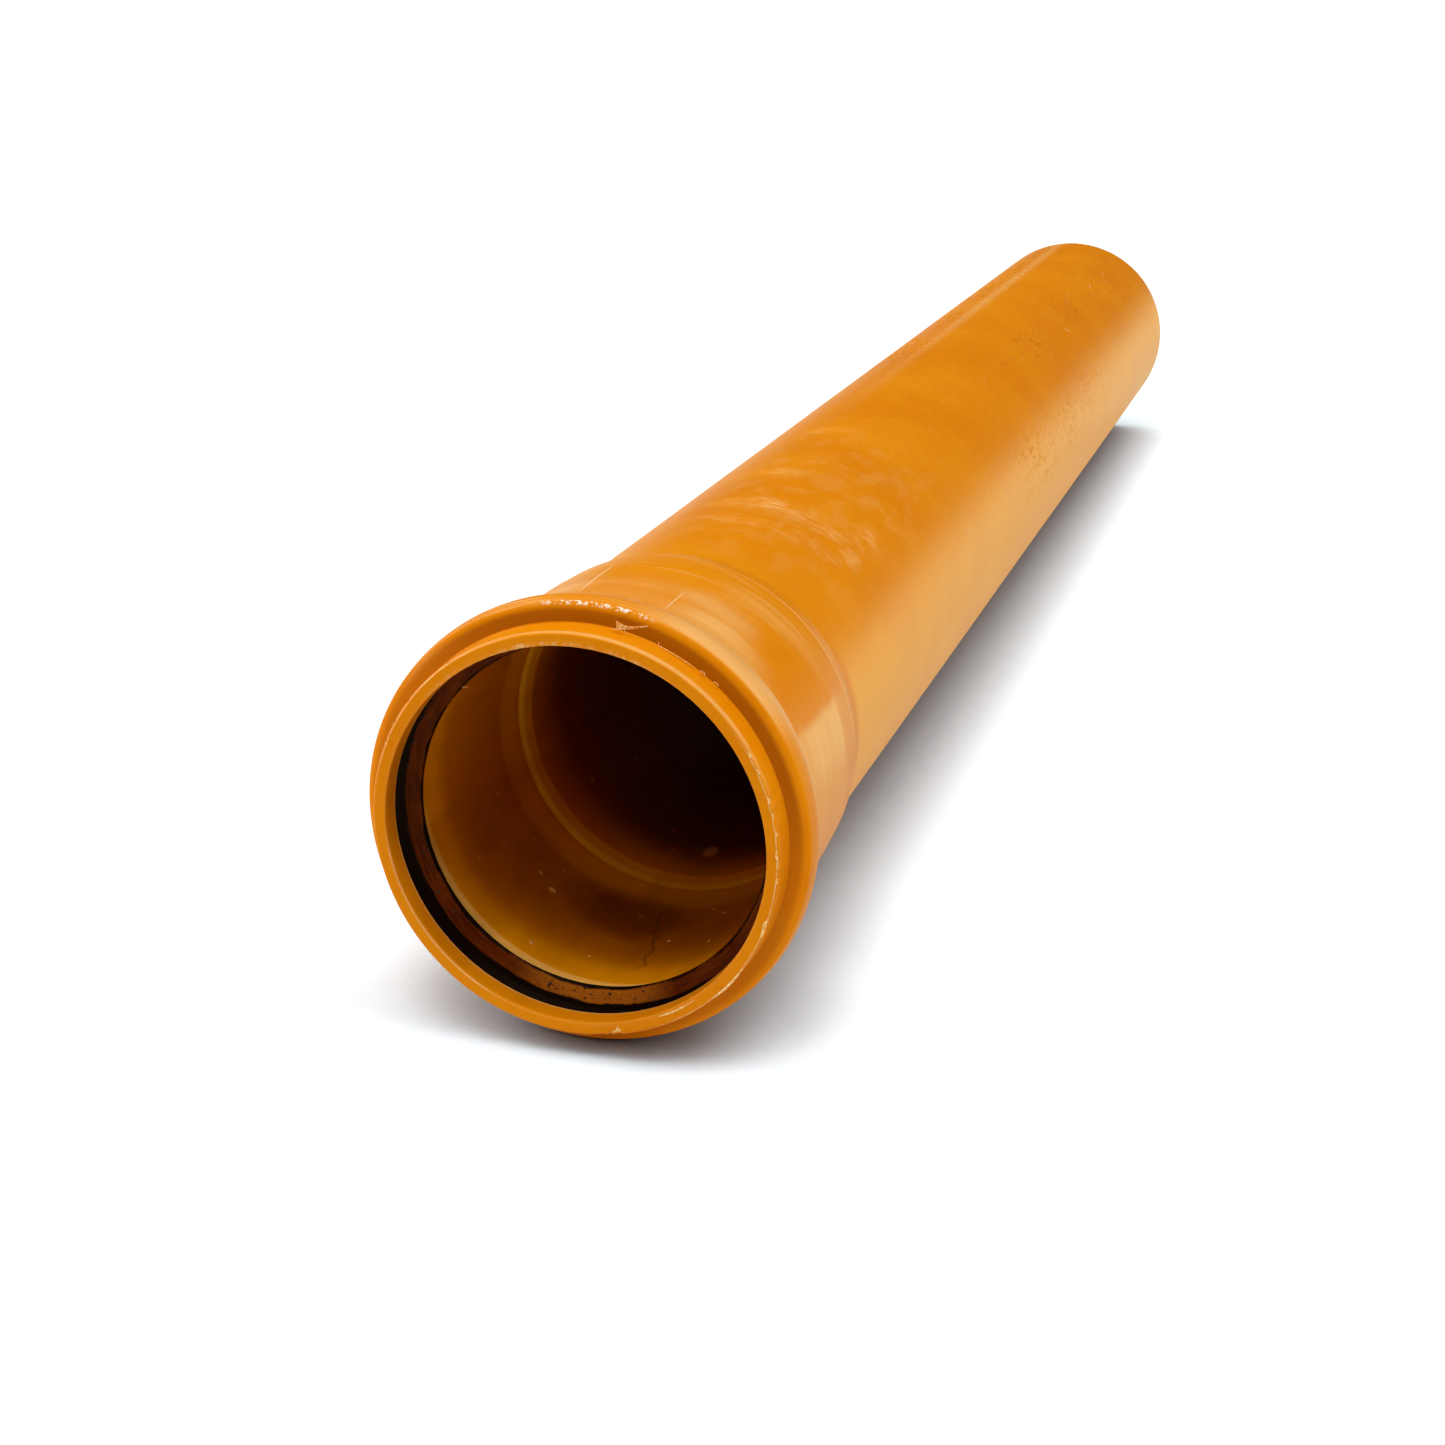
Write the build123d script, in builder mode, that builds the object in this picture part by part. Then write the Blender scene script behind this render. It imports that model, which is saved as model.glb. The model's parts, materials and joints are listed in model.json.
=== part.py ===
from build123d import *
import math
import os

os.makedirs("parts", exist_ok=True)

# A socketed cable protection pipe, DN 125 and one metre long. It lies on the floor with its mouth
# towards -Y, resting on the crest of its bead and on the lower edge of its plain end, so its axis
# dips a little. Sections are drawn with X along the pipe from the cut mouth face and Y as the
# radius, then turned round the pipe's axis. Lengths are millimetres and angles are degrees.

# Barrel: plain pipe of the stock size.
overall_length = 1000.0
barrel_diameter = 125.0
barrel_wall = 4.2
barrel_radius = barrel_diameter / 2
bore_radius = barrel_radius - barrel_wall
end_edge_break = 0.5

# Socket: the pipe widened until a barrel slides into it. Its lip and its body share one bore.
socket_clearance = 0.5
socket_wall = 3.6
socket_bore_radius = barrel_radius + socket_clearance
socket_radius = socket_bore_radius + socket_wall

# Shoulder: a soft slope, a crease that catches the light, then the steeper cone to the barrel. The
# inside has the same three a little further back.
shoulder_start = 86.0
slope_length = 15.0
cone_length = 13.6
crease_drop = 0.8
shoulder_start_rounding = 60.0
crease_rounding = 4.0
shoulder_end_rounding = 9.0
inner_shoulder_delay = 13.0
inner_shoulder_break = 1.0
inner_crease_delay = 9.5
inner_crease_drop = 2.0
inner_shoulder_trail = 1.9
inner_end_break = 1.3
crease_along = shoulder_start + slope_length
shoulder_end = crease_along + cone_length

# Lip: the short straight stretch between the cut mouth and the bead, flared inside at its back.
lip_wall = 4.3
lip_length = 10.4
lip_edge_break = 0.5
lip_back_break = 1.0
flare_lead = 2.4
flare_angle = 35.0
lip_radius = socket_bore_radius + lip_wall
lip_bore_length = lip_length - flare_lead

# Bead: the raised ring that was formed round the sealing ring, and the groove inside it.
bead_rise = 8.0
bead_crest_delay = 6.5
bead_arc_radius = 19.8
bead_wall = 3.9
bead_front_lean = 0.9
bead_front_rounding = 3.0
bead_rear_rounding = 5.0
bead_radius = socket_radius + bead_rise
bead_crest_along = lip_length + bead_crest_delay
arc_centre_radius = bead_radius - bead_arc_radius
groove_arc_radius = bead_arc_radius - bead_wall
groove_front_along = lip_length + bead_wall
groove_rear_rounding = bead_rear_rounding + bead_wall
flare_rise = (groove_front_along - lip_bore_length) * math.tan(math.radians(flare_angle))
groove_front_radius = socket_bore_radius + flare_rise

# Sealing ring: a rubber body that fills the groove, and one lip that leans inwards and back. Each
# delay is a distance behind the ring's front, and the squeeze is how far the free lip stands
# inside the surface of the barrel that it will grip.
seal_seat_gap = 0.1
seal_squeeze = 4.0
seal_lip_delay = 4.5
seal_lip_thickness = 1.5
seal_fold_delay = 1.6
seal_fold_drop = 2.4
seal_root_delay = 7.4
seal_root_rise = 1.6
seal_root_break = 1.2
seal_rear_reach = 9.7
seal_heel_lead = 1.2
seal_heel_drop = 2.1
seal_edge_break = 0.5
seal_front_along = groove_front_along + seal_seat_gap
seal_arc_radius = groove_arc_radius - seal_seat_gap
seal_lip_along = seal_front_along + seal_lip_delay
seal_lip_radius = barrel_radius - seal_squeeze
seal_rear_along = bead_crest_along + seal_rear_reach

# Resting pose: the floor touches the bead's crest arc and the plain end's lower edge.
rest_rise = barrel_radius - arc_centre_radius
rest_span = overall_length - end_edge_break - bead_crest_along
rest_angle = math.degrees(
    math.asin(bead_arc_radius / math.hypot(rest_rise, rest_span)) - math.atan2(rest_rise, rest_span)
)
rest_sine = math.sin(math.radians(rest_angle))
rest_cosine = math.cos(math.radians(rest_angle))
mouth_height = bead_arc_radius + bead_crest_along * rest_sine + arc_centre_radius * rest_cosine
front_reach = (lip_radius - lip_edge_break) * rest_sine
back_reach = overall_length * rest_cosine + (barrel_radius - end_edge_break) * rest_sine
mouth_along = (front_reach - back_reach) / 2

section_plane = Plane(
    origin=(0, mouth_along, mouth_height),
    x_dir=(0, rest_cosine, -rest_sine),
    z_dir=(1, 0, 0),
)
pipe_axis = Axis(section_plane.origin, section_plane.x_dir)


def radius_on_arc(arc_radius, along):
    """Radius of a bead arc's point at a distance from the mouth."""
    return arc_centre_radius + math.sqrt(arc_radius**2 - (along - bead_crest_along) ** 2)


def along_on_arc(arc_radius, radius):
    """Distance from the mouth of the point where a bead arc comes down to a radius."""
    return bead_crest_along + math.sqrt(arc_radius**2 - (radius - arc_centre_radius) ** 2)


def corner(section, point):
    """The section's vertex at a point."""
    return section.vertices().sort_by_distance(point)[0]


bead_front_along = lip_length + bead_front_lean
bead_front = (bead_front_along, radius_on_arc(bead_arc_radius, bead_front_along))
bead_crest = (bead_crest_along, bead_radius)
bead_rear = (along_on_arc(bead_arc_radius, socket_radius), socket_radius)
body_end = (shoulder_start, socket_radius)
crease = (crease_along, socket_radius - crease_drop)
cone_end = (shoulder_end, barrel_radius)
plain_end_outside = (overall_length, barrel_radius)
plain_end_inside = (overall_length, bore_radius)
inner_cone_end = (shoulder_end + inner_shoulder_trail, bore_radius)
inner_crease = (crease_along + inner_crease_delay, socket_bore_radius - inner_crease_drop)
inner_slope_start = (shoulder_start + inner_shoulder_delay, socket_bore_radius)
groove_rear = (along_on_arc(groove_arc_radius, socket_bore_radius), socket_bore_radius)
groove_crest = (bead_crest_along, arc_centre_radius + groove_arc_radius)
groove_corner = (groove_front_along, radius_on_arc(groove_arc_radius, groove_front_along))
groove_foot = (groove_front_along, groove_front_radius)
lip_back = (lip_bore_length, socket_bore_radius)
mouth_inside = (0, socket_bore_radius)
mouth_outside = (0, lip_radius)
lip_root = (lip_length, lip_radius)

# The pipe: one piece from the cut mouth to the plain end.
with BuildPart() as pipe:
    with BuildSketch(section_plane) as pipe_section:
        with BuildLine() as pipe_outline:
            Polyline(mouth_inside, mouth_outside, lip_root, bead_front)
            ThreePointArc(bead_front, bead_crest, bead_rear)
            Polyline(bead_rear, body_end, crease, cone_end, plain_end_outside, plain_end_inside)
            Polyline(plain_end_inside, inner_cone_end, inner_crease, inner_slope_start, groove_rear)
            ThreePointArc(groove_rear, groove_crest, groove_corner)
            Polyline(groove_corner, groove_foot, lip_back, mouth_inside)
        make_face()
        fillet(corner(pipe_section, bead_front), radius=bead_front_rounding)
        fillet(corner(pipe_section, bead_rear), radius=bead_rear_rounding)
        fillet(corner(pipe_section, body_end), radius=shoulder_start_rounding)
        fillet(corner(pipe_section, crease), radius=crease_rounding)
        fillet(corner(pipe_section, cone_end), radius=shoulder_end_rounding)
        fillet(corner(pipe_section, groove_rear), radius=groove_rear_rounding)
        chamfer(corner(pipe_section, inner_cone_end), length=inner_end_break)
        chamfer(corner(pipe_section, inner_slope_start), length=inner_shoulder_break)
        chamfer(corner(pipe_section, lip_back), length=lip_back_break)
        chamfer(corner(pipe_section, mouth_outside), length=lip_edge_break)
        chamfer(corner(pipe_section, plain_end_outside), length=end_edge_break)
    revolve(axis=pipe_axis)
pipe.part.label = "pipe"
export_step(pipe.part, "parts/pipe.step")

seal_top_front = (seal_front_along, radius_on_arc(seal_arc_radius, seal_front_along))
seal_crest = (bead_crest_along, arc_centre_radius + seal_arc_radius)
seal_rear = (seal_rear_along, radius_on_arc(seal_arc_radius, seal_rear_along))
seal_heel = (seal_rear_along - seal_heel_lead, seal_rear[1] - seal_heel_drop)
seal_root = (seal_front_along + seal_root_delay, socket_bore_radius + seal_root_rise)
seal_lip_back = (seal_lip_along + seal_lip_thickness, seal_lip_radius)
seal_lip_front = (seal_lip_along, seal_lip_radius)
seal_fold = (seal_front_along + seal_fold_delay, groove_front_radius - seal_fold_drop)
seal_foot = (seal_front_along, groove_front_radius)

# The sealing ring: its back follows the groove, its front face turns down into the lip.
with BuildPart() as seal_ring:
    with BuildSketch(section_plane) as seal_section:
        with BuildLine() as seal_outline:
            Polyline(seal_foot, seal_top_front)
            ThreePointArc(seal_top_front, seal_crest, seal_rear)
            Polyline(seal_rear, seal_heel, seal_root, seal_lip_back, seal_lip_front)
            Polyline(seal_lip_front, seal_fold, seal_foot)
        make_face()
        chamfer(corner(seal_section, seal_root), length=seal_root_break)
        for edge in (seal_rear, seal_heel, seal_lip_back, seal_lip_front):
            chamfer(corner(seal_section, edge), length=seal_edge_break)
    revolve(axis=pipe_axis)
seal_ring.part.label = "seal_ring"
export_step(seal_ring.part, "parts/seal_ring.step")
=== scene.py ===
import json
import math
import random

import bmesh
import bpy
from mathutils import Matrix, Vector, noise


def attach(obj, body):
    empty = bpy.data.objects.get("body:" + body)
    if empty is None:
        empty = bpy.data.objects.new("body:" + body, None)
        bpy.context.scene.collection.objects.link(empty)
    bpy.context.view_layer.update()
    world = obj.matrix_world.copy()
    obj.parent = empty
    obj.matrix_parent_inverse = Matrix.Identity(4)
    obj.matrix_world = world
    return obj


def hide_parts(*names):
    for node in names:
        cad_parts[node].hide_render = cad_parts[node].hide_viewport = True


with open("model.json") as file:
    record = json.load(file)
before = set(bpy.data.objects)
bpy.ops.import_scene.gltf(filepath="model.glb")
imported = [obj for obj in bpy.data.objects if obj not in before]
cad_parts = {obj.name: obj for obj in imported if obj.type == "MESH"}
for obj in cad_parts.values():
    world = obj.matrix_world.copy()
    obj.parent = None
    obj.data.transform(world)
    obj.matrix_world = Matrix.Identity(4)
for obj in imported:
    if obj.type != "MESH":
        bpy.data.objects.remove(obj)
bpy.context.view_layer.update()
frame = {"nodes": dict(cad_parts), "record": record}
scene = bpy.context.scene

# The pipe: one length of orange-ochre plastic, extruded, then heated at one end and pushed over a
# mandrel that formed the socket and the bead. It lies on its bead and on its plain end. Its section
# is drawn in millimetres, with Y along the pipe from the cut mouth and Z as the radius.
MM = 0.001
mounts = {mount["name"]: mount for mount in frame["record"]["mounts"]}
mouth_place = Vector(mounts["socket"]["pos_m"])
mouth_facing = Vector(mounts["socket"]["axis"])
dip = math.atan2(mouth_facing.z, -mouth_facing.y)
lie = Matrix.Translation(mouth_place) @ Matrix.Rotation(-dip, 4, "X")

overall_length = 1000.0
barrel_radius = mounts["spigot"]["dims"]["r_mm"]
bore_radius = mounts["cable_bore"]["dims"]["r_mm"]
socket_bore_radius = mounts["socket"]["dims"]["r_mm"]
socket_radius = 66.6
lip_radius = 67.3
lip_length = 10.4
lip_bore_length = 8.0
bead_crest = 16.9
bead_arc = 19.8
groove_arc = 15.9
arc_centre = 54.8
groove_front = 14.3
arc_steps = 22
quarter_steps = 96


def arc_radius_at(arc, along):
    """Radius of a bead arc's point at a distance from the mouth."""
    return arc_centre + math.sqrt(arc**2 - (along - bead_crest) ** 2)


def arc_along_at(arc, radius):
    """Distance from the mouth where a bead arc comes down to a radius."""
    return bead_crest + math.sqrt(arc**2 - (radius - arc_centre) ** 2)


def swing(along, radius):
    """Angle of a bead arc's point about the arc's centre, from the radial direction."""
    return math.atan2(along - bead_crest, radius - arc_centre)


def add_arc(section, start, end):
    """Carries a section's vertex along a bead arc to the arc's end and returns the last vertex."""
    first = section.verts.new((0.0, *start))
    turned = bmesh.ops.spin(
        section,
        geom=[first],
        cent=(0.0, bead_crest, arc_centre),
        axis=(1.0, 0.0, 0.0),
        angle=swing(*start) - swing(*end),
        steps=arc_steps,
    )
    last = next(item for item in turned["geom_last"] if isinstance(item, bmesh.types.BMVert))
    return first, last


def add_run(section, first, places, last):
    """Joins two of the section's vertices by a run of corners at places between them."""
    run = [first] + [section.verts.new((0.0, *place)) for place in places] + [last]
    for here, there in zip(run, run[1:]):
        section.edges.new((here, there))


def round_corner(section, place, radius):
    """Rounds the section's corner at a place with an arc of a radius."""
    degrees_per_segment = 7.0
    vert = min(section.verts, key=lambda v: (v.co - Vector((0.0, *place))).length)
    arms = [(edge.other_vert(vert).co - vert.co).normalized() for edge in vert.link_edges]
    turn = math.pi - arms[0].angle(arms[1])
    bmesh.ops.bevel(
        section,
        geom=[vert],
        offset=radius * math.tan(turn / 2),
        offset_type="OFFSET",
        segments=max(3, round(math.degrees(turn) / degrees_per_segment)),
        profile=0.5,
        affect="VERTICES",
        material=-1,
    )


bead_front_along, bead_back_along = 11.3, 29.5
bead_front = (bead_front_along, arc_radius_at(bead_arc, bead_front_along))
bead_back = (bead_back_along, arc_radius_at(bead_arc, bead_back_along))
bead_foot = (40.3, 66.65)
body_end = (86.0, socket_radius)
crease = (101.0, 65.8)
cone_end = (114.6, barrel_radius)
plain_end_outside = (overall_length, barrel_radius)
plain_end_inside = (overall_length, bore_radius)
inner_cone_end = (116.5, bore_radius)
inner_crease = (110.5, 61.0)
inner_slope_start = (99.0, socket_bore_radius)
groove_rear = (arc_along_at(groove_arc, socket_bore_radius), socket_bore_radius)
groove_corner = (groove_front, arc_radius_at(groove_arc, groove_front))
groove_foot = (groove_front, 67.41)
lip_back = (lip_bore_length, socket_bore_radius)
mouth_inside = (0.0, socket_bore_radius)
mouth_outside = (0.0, lip_radius)
lip_root = (lip_length, lip_radius)
outside_corners = [bead_foot, body_end, crease, cone_end, plain_end_outside]
inside_corners = [plain_end_inside, inner_cone_end, inner_crease, inner_slope_start]
lip_corners = [groove_foot, lip_back, mouth_inside, mouth_outside, lip_root]
roundings = (
    (mouth_outside, 1.1),
    (lip_root, 0.5),
    (bead_front, 3.2),
    (bead_back, 4.0),
    (bead_foot, 5.0),
    (body_end, 60.0),
    (crease, 1.6),
    (cone_end, 9.0),
    (plain_end_outside, 0.6),
    (plain_end_inside, 0.4),
    (inner_cone_end, 6.0),
    (inner_crease, 3.0),
    (inner_slope_start, 16.0),
    (groove_rear, 8.9),
    (lip_back, 1.2),
    (mouth_inside, 0.25),
)

section = bmesh.new()
bead_start, bead_end = add_arc(section, bead_front, bead_back)
groove_start, groove_end = add_arc(section, groove_rear, groove_corner)
add_run(section, bead_end, outside_corners + inside_corners, groove_start)
add_run(section, groove_end, lip_corners, bead_start)
bmesh.ops.remove_doubles(section, verts=section.verts, dist=1e-5)
for place, radius in roundings:
    round_corner(section, place, radius)
barrel_edges = [edge for edge in section.edges if edge.calc_length() > 200.0]
bmesh.ops.subdivide_edges(section, edges=barrel_edges, cuts=35)
body_edges = [edge for edge in section.edges if edge.calc_length() > 40.0]
bmesh.ops.subdivide_edges(section, edges=body_edges, cuts=7)
bmesh.ops.spin(
    section,
    geom=section.verts[:] + section.edges[:],
    cent=(0.0, 0.0, 0.0),
    axis=(0.0, 1.0, 0.0),
    angle=math.pi / 2,
    steps=quarter_steps,
)
for mirror_axis in ("X", "Z"):
    bmesh.ops.mirror(
        section,
        geom=section.verts[:] + section.edges[:] + section.faces[:],
        axis=mirror_axis,
        merge_dist=1e-4,
    )
bmesh.ops.remove_doubles(section, verts=section.verts, dist=1e-4)
bmesh.ops.recalc_face_normals(section, faces=section.faces)

# The socket end has gone a little oval in the stack, the long wall is not perfectly straight, and
# the saw and rough handling have left the mouth's two edges nicked.
oval_angle, oval_reach, oval_depth = math.radians(29.0), 60.0, 0.2
sag_start, sag_depth = 130.0, 0.15
skin_drop = 0.02
face_depth, inner_edge_radius, burr_depth = 0.5, 63.6, 0.22
rim_depth, outer_edge_radius, nick_width = 1.4, 66.0, 0.55
outer_nicks = (
    (30.6, 0.5), (25.7, 0.4), (17.6, 0.6), (13.4, 0.5), (8.0, 0.45), (1.2, 0.6), (-3.5, 0.5),
    (-20.1, 0.7), (-24.0, 0.4), (-42.1, 0.4), (-77.4, 0.7), (-79.6, 0.6), (-82.0, 0.7), (-84.0, 0.4),
    (126.4, 0.35), (143.7, 0.35), (151.5, 0.45), (157.6, 0.4),
)
for vert in section.verts:
    along = vert.co.y
    radius = math.hypot(vert.co.x, vert.co.z)
    angle = math.atan2(vert.co.z, vert.co.x)
    inward = skin_drop
    if along < oval_reach:
        fade = math.sqrt(1.0 - along / oval_reach)
        inward += fade * oval_depth * max(0.0, 1.0 - 2.0 * math.cos(2 * (angle - oval_angle)))
    elif along > sag_start:
        sag = noise.noise(Vector((vert.co.x * 0.02, along * 0.006, vert.co.z * 0.02)))
        inward += sag_depth * abs(sag)
    if along < face_depth and radius < inner_edge_radius:
        turn = Vector((math.cos(angle), math.sin(angle), 0.0))
        ragged = noise.noise(turn * 30.0) + 0.6 * noise.noise(turn * 75.0)
        top_burr = 1.0 if math.radians(50.0) < angle < math.radians(130.0) else 0.4
        vert.co.y += burr_depth * top_burr * max(0.0, ragged)
        inward += 0.10 * top_burr * ragged
    if along < rim_depth and radius > outer_edge_radius:
        for nick_angle, depth in outer_nicks:
            away = (math.degrees(angle) - nick_angle) / nick_width
            if abs(away) < 3.0:
                inward += 0.8 * depth * math.exp(-away * away)
                vert.co.y += depth * math.exp(-away * away)
    scale = 1.0 - inward / radius
    vert.co.x *= scale
    vert.co.z *= scale

bmesh.ops.transform(section, matrix=lie @ Matrix.Scale(MM, 4), verts=section.verts)
pipe_mesh = bpy.data.meshes.new("pipe_body")
section.to_mesh(pipe_mesh)
section.free()
for face in pipe_mesh.polygons:
    face.use_smooth = True
pipe_body = bpy.data.objects.new("pipe_body", pipe_mesh)
scene.collection.objects.link(pipe_body)


class Tone:
    """A value or colour that varies over a surface: one node's output, joined to others by sums."""

    def __init__(self, tree, socket=None):
        self.tree = tree
        self.socket = socket

    def make(self, kind, settings=(), inputs=(), output=0):
        """Adds a node, with its settings first and then the values or links of its sockets."""
        node = self.tree.nodes.new(kind)
        for name, value in dict(settings).items():
            setattr(node, name, value)
        for name, value in dict(inputs).items():
            if isinstance(value, Tone):
                self.tree.links.new(value.socket, node.inputs[name])
            else:
                node.inputs[name].default_value = value
        return Tone(self.tree, node.outputs[output])

    def sum_of(self, operation, first, second=0.0):
        return self.make("ShaderNodeMath", {"operation": operation}, {0: first, 1: second})

    def __add__(self, other):
        return self.sum_of("ADD", self, other)

    def __radd__(self, other):
        return self.sum_of("ADD", other, self)

    def __sub__(self, other):
        return self.sum_of("SUBTRACT", self, other)

    def __rsub__(self, other):
        return self.sum_of("SUBTRACT", other, self)

    def __mul__(self, other):
        return self.sum_of("MULTIPLY", self, other)

    def __rmul__(self, other):
        return self.sum_of("MULTIPLY", other, self)

    def __truediv__(self, other):
        return self.sum_of("DIVIDE", self, other)

    def __rtruediv__(self, other):
        return self.sum_of("DIVIDE", other, self)

    def ease(self, low, high, start=0.0, end=1.0):
        """Goes softly from start to end while the tone goes from low to high."""
        return self.make(
            "ShaderNodeMapRange",
            {"interpolation_type": "SMOOTHSTEP"},
            {"Value": self, "From Min": low, "From Max": high, "To Min": start, "To Max": end},
        )

    def tint(self, under, over):
        """Lays one colour over another, as strongly as the tone says."""
        return self.make(
            "ShaderNodeMix", {"data_type": "RGBA"}, {0: self, 6: under, 7: over}, output=2
        )

    def vector(self, x, y, z):
        return self.make("ShaderNodeCombineXYZ", {}, {0: x, 1: y, 2: z})

    def part(self, axis):
        """One of a vector's three numbers."""
        return self.make("ShaderNodeSeparateXYZ", {}, {0: self}, output=axis)

    def grain(self, place, scale, detail=3.0, rough=0.5):
        """Soft random spots, between nothing and one."""
        return self.make(
            "ShaderNodeTexNoise",
            {"noise_dimensions": "3D"},
            {"Vector": place, "Scale": scale, "Detail": detail, "Roughness": rough},
        )


def new_finish(name):
    """A material with its nodes' tree, its shader and the tone that its patterns start from."""
    finish = bpy.data.materials.new(name)
    finish.use_nodes = True
    return finish, finish.node_tree.nodes["Principled BSDF"], Tone(finish.node_tree)


def feed(shader, tones):
    """Joins tones to a shader's sockets by name."""
    for name, tone in tones.items():
        tone.tree.links.new(tone.socket, shader.inputs[name])


def pipe_position(start):
    """A place in the pipe's own directions: across, along from the mouth, and upward, in metres."""
    unlie = lie.inverted()
    return start.make(
        "ShaderNodeMapping",
        {"vector_type": "POINT"},
        {
            "Vector": start.make("ShaderNodeTexCoord", output=3),
            "Location": unlie.translation,
            "Rotation": unlie.to_euler(),
        },
    )


plastic, plastic_shader, start = new_finish("pipe_plastic")
pipe_place = pipe_position(start)
across = pipe_place.part(0)
along = pipe_place.part(1) * 1000.0
upward = pipe_place.part(2)
radius = start.sum_of("SQRT", across * across + upward * upward) * 1000.0
angle = start.sum_of("ARCTAN2", upward, across) * math.degrees(1.0)
side = across / radius * 1000.0
top = upward / radius * 1000.0


def window(value, low, high, soft):
    """One inside a range of a tone, easing to nothing over a soft border."""
    return value.ease(low - soft, low + soft) * (1.0 - value.ease(high - soft, high + soft))


def patch(middle_angle, middle_along, reach_angle, reach_along, edge=0.6):
    """A soft-edged oval on the pipe's surface, placed by its angle and distance from the mouth."""
    turned = (angle - middle_angle) / reach_angle
    moved = (along - middle_along) / reach_along
    return 1.0 - (turned * turned + moved * moved).ease(1.0 - edge, 1.0 + edge)


def patches(edge, *rows):
    """Several patches with one softness; a row is a patch's place, its reach and its strength."""
    return sum(patch(*place_and_reach, edge) * strength for *place_and_reach, strength in rows)


inner_limit = along.ease(100.0, 114.0, 64.6, 60.4)
inside = start.sum_of("LESS_THAN", radius, inner_limit) * along.ease(1.0, 2.0)
outside = 1.0 - inside
mottle = start.grain(pipe_place, 14.0, 4.0, 0.6)
cloud = start.grain(pipe_place, 38.0, 3.0, 0.55)
fine = start.grain(pipe_place, 420.0, 3.0, 0.6)
round_lines = start.grain(start.vector(side * 1.6, along * 0.32, top * 1.6), 1.0, 5.0, 0.62)
round_hairs = start.grain(start.vector(side * 2.2, along * 1.9, top * 2.2), 1.0, 4.0, 0.6)
drawn_lines = start.grain(start.vector(side * 34.0, along * 0.009, top * 34.0), 1.0, 3.0, 0.6)

deep_orange, light_orange = (0.72, 0.215, 0.0, 1.0), (0.77, 0.262, 0.002, 1.0)
# These two pale colours paint real scuffs and scratches, and also painted highlights.
scuff_and_highlight_pale, scratch_and_highlight_pale = (0.88, 0.50, 0.17, 1.0), (0.93, 0.68, 0.38, 1.0)
chalk_and_highlight, glint_white = (0.96, 0.52, 0.07, 1.0), (0.98, 0.90, 0.76, 1.0)
dirt, corner_shade = (0.46, 0.118, 0.0, 1.0), (0.40, 0.105, 0.0, 1.0)
grained = mottle.ease(0.34, 0.68) * 0.8 + drawn_lines.ease(0.4, 0.7) * 0.2
colour = grained.tint(deep_orange, light_orange)

# Barrel: faint pale cloudiness, a chalky lower right side that is also a painted highlight, painted
# highlights along the top and the left side, smears rubbed round the wall near the socket.
barrel = outside * along.ease(116.0, 124.0)
# Partly painted highlight: the lower right side is made paler and yellower where it reflects the floor, along
# with chalking.
chalky_lit_side = barrel * window(angle, -40.0, 24.0, 16.0) * (0.45 + cloud * 0.5)
colour = (chalky_lit_side * 0.72).tint(colour, chalk_and_highlight)
# Painted highlight: a narrow pale stripe along the top of the barrel stands in for a reflected light.
painted_highlight_stripe = barrel * window(angle, 97.0, 102.0, 3.5) * along.ease(300.0, 760.0)
colour = (painted_highlight_stripe * (0.30 + mottle * 0.25)).tint(colour, scuff_and_highlight_pale)
# Painted highlight: the barrel's left side is made cloudily paler where it catches light.
left_side_highlight = barrel * window(angle, 128.0, 175.0, 10.0)
colour = (left_side_highlight * (0.3 + cloud * 0.4)).tint(colour, scuff_and_highlight_pale)
rubbed = start.grain(start.vector(angle * 0.13, along * 0.38, 0.0), 1.0, 5.0, 0.72)
worn = start.grain(start.vector(angle * 0.09, along * 0.05, 0.0), 1.0, 3.0, 0.6)
smears = patches(
    0.9,
    (94.0, 336.0, 9.0, 6.0, 1.0),
    (95.0, 250.0, 9.0, 7.0, 1.0),
    (91.0, 199.0, 14.0, 9.0, 1.0),
    (86.0, 171.0, 13.0, 6.0, 1.0),
    (66.0, 199.0, 17.0, 12.0, 0.7),
    (49.0, 222.0, 5.0, 9.0, 1.0),
    (48.0, 186.0, 5.0, 8.0, 1.0),
    (62.0, 172.0, 15.0, 6.0, 0.5),
)
smear_strength = rubbed.ease(0.42, 0.60) * (0.12 + worn.ease(0.40, 0.62) * 0.42)
colour = (barrel * smears * smear_strength).tint(colour, scuff_and_highlight_pale)
rub_zone = barrel * window(angle, 38.0, 112.0, 12.0) * window(along, 130.0, 330.0, 40.0)
faint_rubs = rubbed.ease(0.56, 0.72) * 0.16 + worn.ease(0.44, 0.66) * 0.12
colour = (rub_zone * faint_rubs).tint(colour, scuff_and_highlight_pale)

# Dirt: dark crumbs stuck in a band over the top and thickly along the far left side.
crumb_place = start.vector(side * 20.0, along * 0.13, top * 20.0)
crumbs = start.grain(crumb_place, 1.0, 3.0, 0.6)
crumb_groups = start.grain(pipe_place, 22.0, 2.0, 0.5)
left_dirt = window(angle, 96.0, 135.0, 6.0) * window(along, 520.0, 905.0, 60.0)
top_dirt = window(angle, 48.0, 68.0, 5.0) * window(along, 560.0, 960.0, 60.0)
low_dirt = window(angle, 2.0, 26.0, 6.0) * window(along, 470.0, 730.0, 40.0) * 0.5
thin_dirt = window(angle, 20.0, 112.0, 10.0) * window(along, 240.0, 980.0, 60.0) * 0.28
dirty = left_dirt * 1.1 + top_dirt * 0.9 + low_dirt + thin_dirt
crumb_strength = (0.5 + crumb_groups.ease(0.36, 0.64) * 0.7) * crumbs.ease(0.46, 0.66)
dirt_marks = barrel * dirty * crumb_strength
colour = (dirt_marks * 0.60).ease(0.0, 1.0, 0.0, 0.8).tint(colour, dirt)
pale_crumbs = barrel * dirty * crumbs.ease(0.66, 0.72)
colour = (pale_crumbs * 0.3).tint(colour, scratch_and_highlight_pale)
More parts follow.
